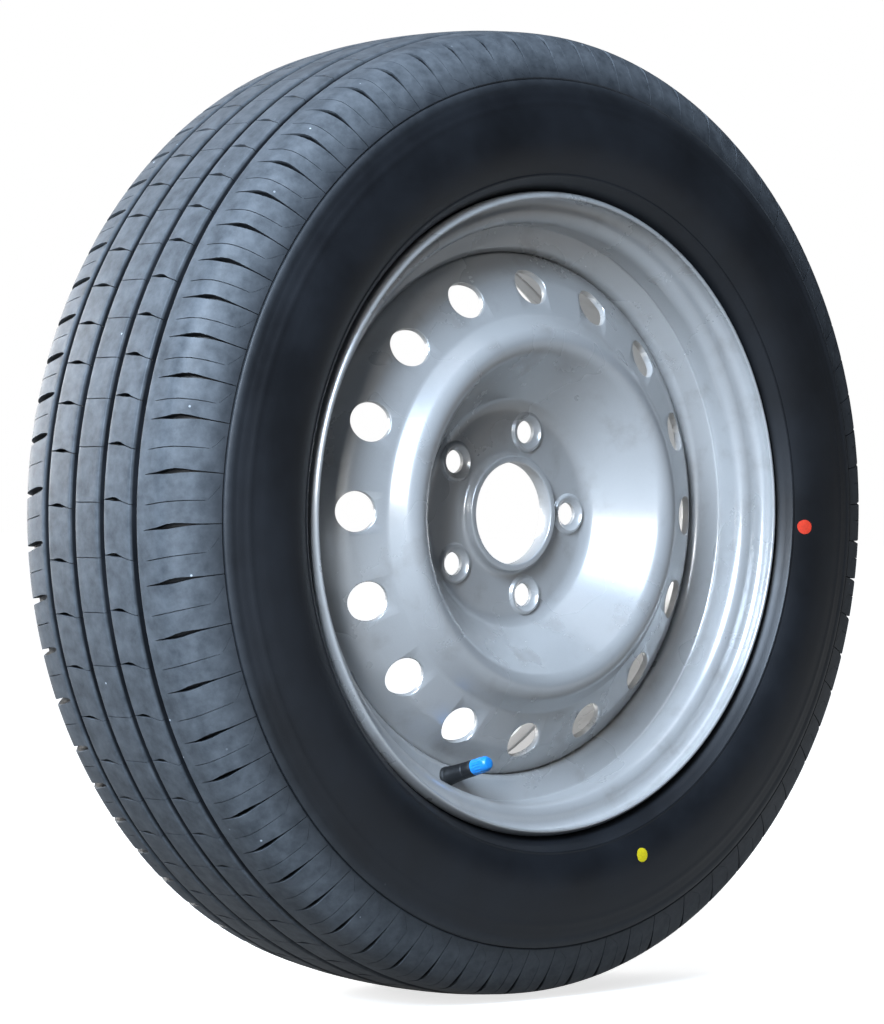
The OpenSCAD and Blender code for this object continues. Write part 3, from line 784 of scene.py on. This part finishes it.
def weldBead(v, centre):
    # fillet weld, laid in overlapping ripples
    r, z, leg = v["radius"], v["edge"], v["leg"]
    section = [(r, z), (r, z - leg), (r - leg * 0.35, z - leg * 0.82), (r - leg * 0.66, z - leg * 0.62),
               (r - leg * 0.84, z - leg * 0.33), (r - leg, z)]
    bm = turnedBody(section, 220, v["arc"], centre - v["arc"] / 2)
    root = Vector((r, -z)) * mm
    for vert in bm.verts:
        radius = math.hypot(vert.co.x, vert.co.z)
        out = Vector((radius, vert.co.y)) - root
        if out.x > -0.0001 or out.y < 0.0001:
            continue
        along = math.atan2(vert.co.z, vert.co.x) * r / v["ripple"]
        grow = 0.92 + 0.1 * abs(math.sin(along * math.pi)) + 0.05 * noise.noise(vert.co * 300)
        spot = root + out * min(grow, 1.02)
        vert.co.x, vert.co.z, vert.co.y = vert.co.x * spot.x / radius, vert.co.z * spot.x / radius, spot.y
    return bm


welds = bmesh.new()
for k in range(weld["count"]):
    bead = weldBead(weld, k * 360 / weld["count"])
    mesh = bpy.data.meshes.new("bead")
    bead.to_mesh(mesh)
    bead.free()
    welds.from_mesh(mesh)
    bpy.data.meshes.remove(mesh)
weldBeads = meshObject("weldBeads", welds)
smoothFaces(weldBeads, 50)
dress(weldBeads, "wheel", "weld_steel", weldFinish, "weld_beads")
print("stage: welds laid")


# Valve

valveBody = {
    "stem": 3.85,
    "top": 24.8,      # where the rubber ends under the cap
}
capSize = {"foot": 25.2, "length": 13.2, "radius": 5.2, "bore": 4.05, "roof": 36.7, "ribs": 18,
           "ribDepth": 0.28}


def sleeveOutline(v, sheet):
    # bulb behind the wall, neck through it, foot on it, and the sleeve with its ring
    stem, top = v["stem"], v["top"]
    return [(stem, -sheet - 6.5), (6.2, -sheet - 6.5, 0.8), (7, -sheet - 3.5, 0.8),
            (7, -sheet - 1.6, 0.5), (6.2, -sheet - 0.8), (5.5, -sheet - 0.3), (5.5, 0.3),
            (6.4, 0.3, 0.3), (6.4, 2.2, 0.8), (6.0, 2.9, 0.6), (6.0, 5.0, 1.0), (5.6, 8, 4), (5.4, 14),
            (5.35, 17.0, 0.4), (5.0, 17.5, 0.4), (5.0, 18.4, 0.4), (5.35, 18.9, 0.4),
            (5.3, top - 1.2, 0.5), (4.8, top, 0.4), (stem, top)]


rubberSleeve = valveTurned("valveRubber", sleeveOutline(valveBody, rim["sheet"]))
smoothFaces(rubberSleeve, 45)
dress(rubberSleeve, "wheel", "valve_rubber", valveFinish, "valve_body")


def ribbedCap(v):
    # a turned cap whose lower part is squeezed in between its grip ribs
    foot, top, r = v["foot"], v["foot"] + v["length"], v["radius"]
    bore, roof = v["bore"], v["roof"]
    bm = turnedBody([(bore, foot), (r - 0.1, foot, 0.3), (r, foot + 0.6, 0.3), (r, foot + 2.0),
                     (r, foot + 4.0), (r, foot + 6.5), (r - 0.05, foot + 8.6),
                     (r - 0.15, foot + 9.4, 0.4), (r - 0.45, top - 2.2, 1.5),
                     (r - 1.7, top - 0.35, 1.2), (0, top), (0, roof), (bore, roof)], v["ribs"] * 8)
    for vert in bm.verts:
        radius, z = math.hypot(vert.co.x, vert.co.z) / mm, -vert.co.y / mm
        if radius > r - 0.25 and foot + 1.2 < z < foot + 9.0:
            wave = 0.5 - 0.5 * math.cos(math.atan2(vert.co.z, vert.co.x) * v["ribs"])
            keep = 1 - v["ribDepth"] / radius * wave ** 0.6
            vert.co.x, vert.co.z = vert.co.x * keep, vert.co.z * keep
    bmesh.ops.transform(bm, matrix=valvePlace(valve), verts=bm.verts)
    return bm


blueCap = meshObject("valveCap", ribbedCap(capSize))
smoothFaces(blueCap, 45)
dress(blueCap, "cap", "blue_plastic", plasticFinish, "valve_cap")
print("stage: valve made")

# the pieces inside the valve keep their exact CAD solids
for node, finish in (
        ("valve_stem", brassFinish),
        ("core_barrel", brassFinish),
        ("core_pin", brassFinish),
        ("core_gasket", gasketFinish),
        ("core_cup", valveFinish),
        ("core_spring", springFinish),
        ("cap_seal", valveFinish)):
    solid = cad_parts[node]
    solid.data.materials.clear()
    solid.data.materials.append(finish)


# Marks on the sidewall

marks = {
    # [radius, angle round the wheel, size]
    "redDot": (224.6, -1.7, 4.9),
    "yellowDot": (232.5, -72.5, 4.6),
}


def sidewallAt(radius):
    # distance outboard of the sidewall at this radius
    line = [(p.y, p.x) for p in crownLine if p.x > 60] + [(c[0], c[1]) for c in tyre["side"]]
    for a, b in zip(line, line[1:]):
        if b[0] <= radius <= a[0]:
            return a[1] + (b[1] - a[1]) * (a[0] - radius) / (a[0] - b[0])
    return 97.5


def paintDab(name, radius, angle, size, material):
    # a thin round dab that follows the sidewall
    bm = bmesh.new()
    bmesh.ops.create_circle(bm, cap_ends=True, cap_tris=False, segments=40, radius=size * mm)
    bmesh.ops.inset_region(bm, faces=bm.faces[:], thickness=size * 0.35 * mm)
    bmesh.ops.poke(bm, faces=[max(bm.faces, key=lambda f: len(f.verts))])
    for vert in bm.verts:
        away = Vector((vert.co.x, vert.co.y))
        wobble = 1 + 0.05 * noise.noise(Vector((away.x, away.y, angle)) * 250)
        r = radius + away.y / mm * wobble
        turn = angle + math.degrees(away.x / mm * wobble / radius)
        lift = 0.55 if away.length < size * 0.98 * mm else 0.25  # lower at its edge
        vert.co = place(r, sidewallAt(r) + lift, turn)
    bmesh.ops.recalc_face_normals(bm, faces=bm.faces)
    made = meshObject(name, bm)
    smoothFaces(made, 60)
    return dress(made, "wheel", "tyre_rubber", material)


paintDab("redDot", *marks["redDot"], redPaint)
paintDab("yellowDot", *marks["yellowDot"], yellowPaint)
print("stage: marks painted")


# Studio

studio = {
    "floor": "#f4f4f2",
    # the glow is weaker near the wheel, so the paper round it reads darker: a painted shade round the
    # wheel, on top of its real shadow
    "floorLift": (0.74, 1.0),  # near the wheel and far from it, for the camera: the paper reads white
    "floorFade": (0.45, 1.2),  # metres from the wheel between the two
    "floorBounce": "#232527",  # the same paper as it lights the object
    "floorMirror": 0.25,       # how much of the white paper the rubber and the paint mirror
    "paperEdge": (0.60, 0.85),  # the paper behind the wheel fades in between these, by direction
    "ambient": "#a9b6c8",
    "ambientStrength": 0.18,
    # each light is [place, width and height, watts, colour]
    "lights": {
        "windowLeft": ((-2.2, -1.1, 1.5), (1.0, 1.3), 175, "#d2e7ff"),
        "panelFront": ((-2.15, -1.55, 0.5), (0.3, 0.4), 14, "#ffffff"),
        "ceiling": ((-0.6, -0.2, 2.6), (2.0, 1.6), 12, "#f2f5ff"),
        "barrelBack": ((-0.5, 1.6, 0.3), (0.8, 0.8), 27, "#ffffff"),
    },
}


def studioFloor():
    # matt seamless paper, lifted to white for the camera far from the wheel and less near it, which paints
    # shade round the wheel, and still taking the shadow
    bm = bmesh.new()
    bmesh.ops.create_grid(bm, x_segments=1, y_segments=1, size=30)
    bmesh.ops.translate(bm, verts=bm.verts, vec=(0, 0, cadBounds[0].z - 0.0002))
    made = meshObject("floor", bm)
    material, shader = newMaterial("studioPaper")
    fillSockets(material, shader, {"Base Color": studio["floor"], "Roughness": 1.0,
                "Specular IOR Level": 0.0})
    cameraRay = addNode(material, "LightPath", take="Is Camera Ray")
    mirrored = addNode(material, "Math", {0: cameraRay.node.outputs["Is Glossy Ray"],
                       1: studio["floorMirror"]}, operation="MULTIPLY")
    seen = addNode(material, "Math", {0: cameraRay, 1: mirrored}, operation="MAXIMUM")
    seen = addNode(material, "Math", {0: seen, 1: cameraRay.node.outputs["Is Transmission Ray"]},
                   operation="MAXIMUM")
    spot = addNode(material, "TexCoord", take="Object")
    away = addNode(material, "VectorMath", {0: spot}, take="Value", operation="LENGTH")
    near, far = studio["floorFade"]
    dim, bright = studio["floorLift"]
    # weaker glow near the wheel: painted shade on the paper round it
    lift = addNode(material, "MapRange", {"Value": away, "From Min": near, "From Max": far,
                   "To Min": dim, "To Max": bright}, interpolation_type="SMOOTHSTEP")
    glow = addNode(material, "Emission", {"Color": "#ffffff", "Strength": lift})
    white = addNode(material, "AddShader", {0: shader.outputs[0], 1: glow})
    bounce = addNode(material, "BsdfDiffuse", {"Color": studio["floorBounce"]})
    mixed = addNode(material, "MixShader", {0: seen, 1: bounce, 2: white})
    fillSockets(material, material.node_tree.nodes["Material Output"], {"Surface": mixed})
    made.data.materials.append(material)


def studioWorld():
    # a dim room, with white paper behind the wheel that the camera and the metal both see
    world = bpy.data.worlds.new("studio")
    bpy.context.scene.world = world
    world.use_nodes = True
    room = world.node_tree.nodes["Background"]
    fillSockets(world, room, {"Color": studio["ambient"], "Strength": studio["ambientStrength"]})
    paper = addNode(world, "Background", {"Color": "#ffffff", "Strength": 1.0})
    cameraRay = addNode(world, "LightPath", take="Is Camera Ray")
    mirrored = addNode(world, "Math", {0: cameraRay.node.outputs["Is Glossy Ray"],
                       1: cameraRay.node.outputs["Is Transmission Ray"]}, operation="MAXIMUM")
    direction = addNode(world, "TexCoord", take="Generated")
    depth = addNode(world, "SeparateXYZ", {"Vector": direction}, take="Y")
    start, end = studio["paperEdge"]
    behind = addNode(world, "MapRange", {"Value": depth, "From Min": start, "From Max": end},
                     interpolation_type="SMOOTHSTEP")
    mirrored = addNode(world, "Math", {0: mirrored, 1: behind}, operation="MULTIPLY")
    white = addNode(world, "Math", {0: cameraRay, 1: mirrored}, operation="MAXIMUM")
    mixed = addNode(world, "MixShader", {0: white, 1: room.outputs[0], 2: paper})
    fillSockets(world, world.node_tree.nodes["World Output"], {"Surface": mixed})


def softLight(name, spot, size, power, colour):
    data = bpy.data.lights.new(name, "AREA")
    data.shape, data.size, data.size_y = "RECTANGLE", size[0], size[1]
    data.energy = power
    data.color = linearColour(colour)[:3]
    made = bpy.data.objects.new(name, data)
    bpy.context.scene.collection.objects.link(made)
    made.location = spot
    made.rotation_euler = (-Vector(spot)).to_track_quat("-Z", "Y").to_euler()
    made.visible_camera = False


studioFloor()
studioWorld()
for name, values in studio["lights"].items():
    softLight(name, *values)
bpy.context.scene.view_settings.view_transform = "Standard"
print("stage: studio set")
